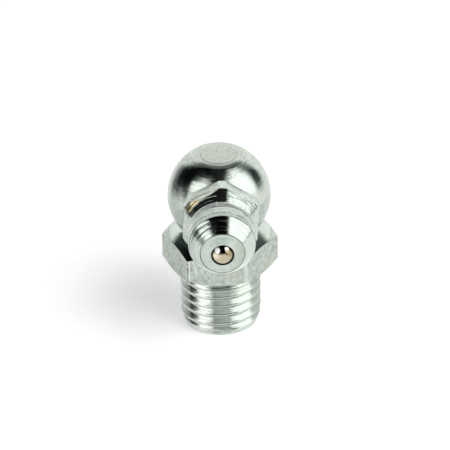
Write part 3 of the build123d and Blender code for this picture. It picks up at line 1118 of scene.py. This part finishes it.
def add_world():
    """A world that is white to sight and to reflections, and that gives no light."""
    recipe = Recipe(bpy.data.worlds.new("world"))
    bpy.context.scene.world = recipe.owner
    white = recipe.add("ShaderNodeBackground", None, {"Strength": seen_rays(recipe)})
    recipe.add("ShaderNodeOutputWorld", None, {"Surface": white})


# ---- Operators ----


class BuildBody(bpy.types.Operator):
    """Build the threaded body with its flange and ball"""

    bl_idname = "nipple.build_body"
    bl_label = "Build body"

    def execute(self, context):
        scene = context.scene
        points = body_points(scene.nipple_shank, scene.nipple_flange, scene.nipple_ball)
        metal = body_metal(scene.nipple_finish, scene.nipple_shank)
        add_piece("body_plated", points, metal, "fitting", "elbow_body")
        return {"FINISHED"}


class BuildInsert(bpy.types.Operator):
    """Build the nipple with its hexagon and conical head"""

    bl_idname = "nipple.build_insert"
    bl_label = "Build nipple"

    def execute(self, context):
        scene = context.scene
        points = insert_points(scene.nipple_insert)
        metal = insert_metal(scene.nipple_finish, scene.nipple_insert)
        add_piece("nipple_plated", points, metal, "fitting", "nipple_insert")
        return {"FINISHED"}


class BuildCheckBall(bpy.types.Operator):
    """Build the polished check ball"""

    bl_idname = "nipple.build_check_ball"
    bl_label = "Build check ball"

    def execute(self, context):
        points = ball_points((BALL_LOW + BALL_HIGH) / 2, (BALL_HIGH.x - BALL_LOW.x) / 2)
        metal = ball_metal(context.scene.nipple_finish)
        add_piece("ball_polished", points, metal, "valve", "check_ball")
        return {"FINISHED"}


class BuildSpring(bpy.types.Operator):
    """Build the coil spring"""

    bl_idname = "nipple.build_spring"
    bl_label = "Build spring"

    def execute(self, context):
        spring = context.scene.nipple_spring
        metal = spring_metal(context.scene.nipple_finish)
        piece = add_piece(
            "spring_wire", spring_points(spring), metal, "fitting", "spring"
        )
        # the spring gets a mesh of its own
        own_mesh(piece)
        return {"FINISHED"}


class BuildStage(bpy.types.Operator):
    """Build the floor, the lamps and the camera"""

    bl_idname = "nipple.build_stage"
    bl_label = "Build stage"

    def execute(self, context):
        stage = context.scene.nipple_stage
        add_camera(stage)
        add_world()
        floor = CAD_BOX[0].z
        paper = matte("paper", stage.paper, stage.paper_lift)
        stage_piece("paper_floor", floor_points(stage, floor), paper)
        paper = matte("hanging_paper", stage.paper, stage.wall_lift)
        stage_piece("paper_wall", wall_points(stage, floor), paper)
        dark = matte("room", stage.room, stage.room_lift)
        stage_piece("room", room_points(stage.room_radius), dark).visible_camera = False
        for name, (start, end, top, lean) in CARDS.items():
            hang_lamp(name, sheet_points(start, end, floor, top, lean), getattr(stage, name))
        add_lamp("right_softbox", *RIGHT_SOFTBOX, stage.right_lamp)
        cloth = sky_points(LEFT_CLOTH, CLOTH_DISTANCE)
        hang_lamp("left_softbox", cloth, [stage.left_lamp] * 3)
        add_lamp("fill", *FILL_SOFTBOX, stage.fill_lamp).visible_glossy = False
        context.scene.view_settings.view_transform = "Standard"
        return {"FINISHED"}


class NipplePanel(bpy.types.Panel):
    """Lists the pieces of the nipple and its sizes"""

    bl_idname = "VIEW3D_PT_nipple"
    bl_label = "Grease nipple"
    bl_space_type = "VIEW_3D"
    bl_region_type = "UI"
    bl_category = "Nipple"

    def draw(self, context):
        for operator in OPERATORS:
            self.layout.operator(operator.bl_idname)
        for name in GROUPS:
            group = getattr(context.scene, name)
            box = self.layout.box()
            box.label(text=group.bl_rna.description or name)
            for key in group.__annotations__:
                box.prop(group, key)


GROUPS = {
    "nipple_shank": ShankSizes,
    "nipple_flange": FlangeSizes,
    "nipple_ball": BallSizes,
    "nipple_insert": InsertSizes,
    "nipple_spring": SpringSizes,
    "nipple_finish": Finishes,
    "nipple_stage": StageSizes,
}
OPERATORS = (BuildBody, BuildInsert, BuildCheckBall, BuildSpring, BuildStage)


def register():
    for kind in (*GROUPS.values(), *OPERATORS, NipplePanel):
        bpy.utils.register_class(kind)
    for name, kind in GROUPS.items():
        setattr(bpy.types.Scene, name, PointerProperty(type=kind))


def unregister():
    for name in GROUPS:
        delattr(bpy.types.Scene, name)
    for kind in reversed((*GROUPS.values(), *OPERATORS, NipplePanel)):
        bpy.utils.unregister_class(kind)


def main():
    register()
    bpy.ops.nipple.build_body()
    bpy.ops.nipple.build_insert()
    bpy.ops.nipple.build_check_ball()
    bpy.ops.nipple.build_spring()
    bpy.ops.nipple.build_stage()


if __name__ == "__main__":
    main()
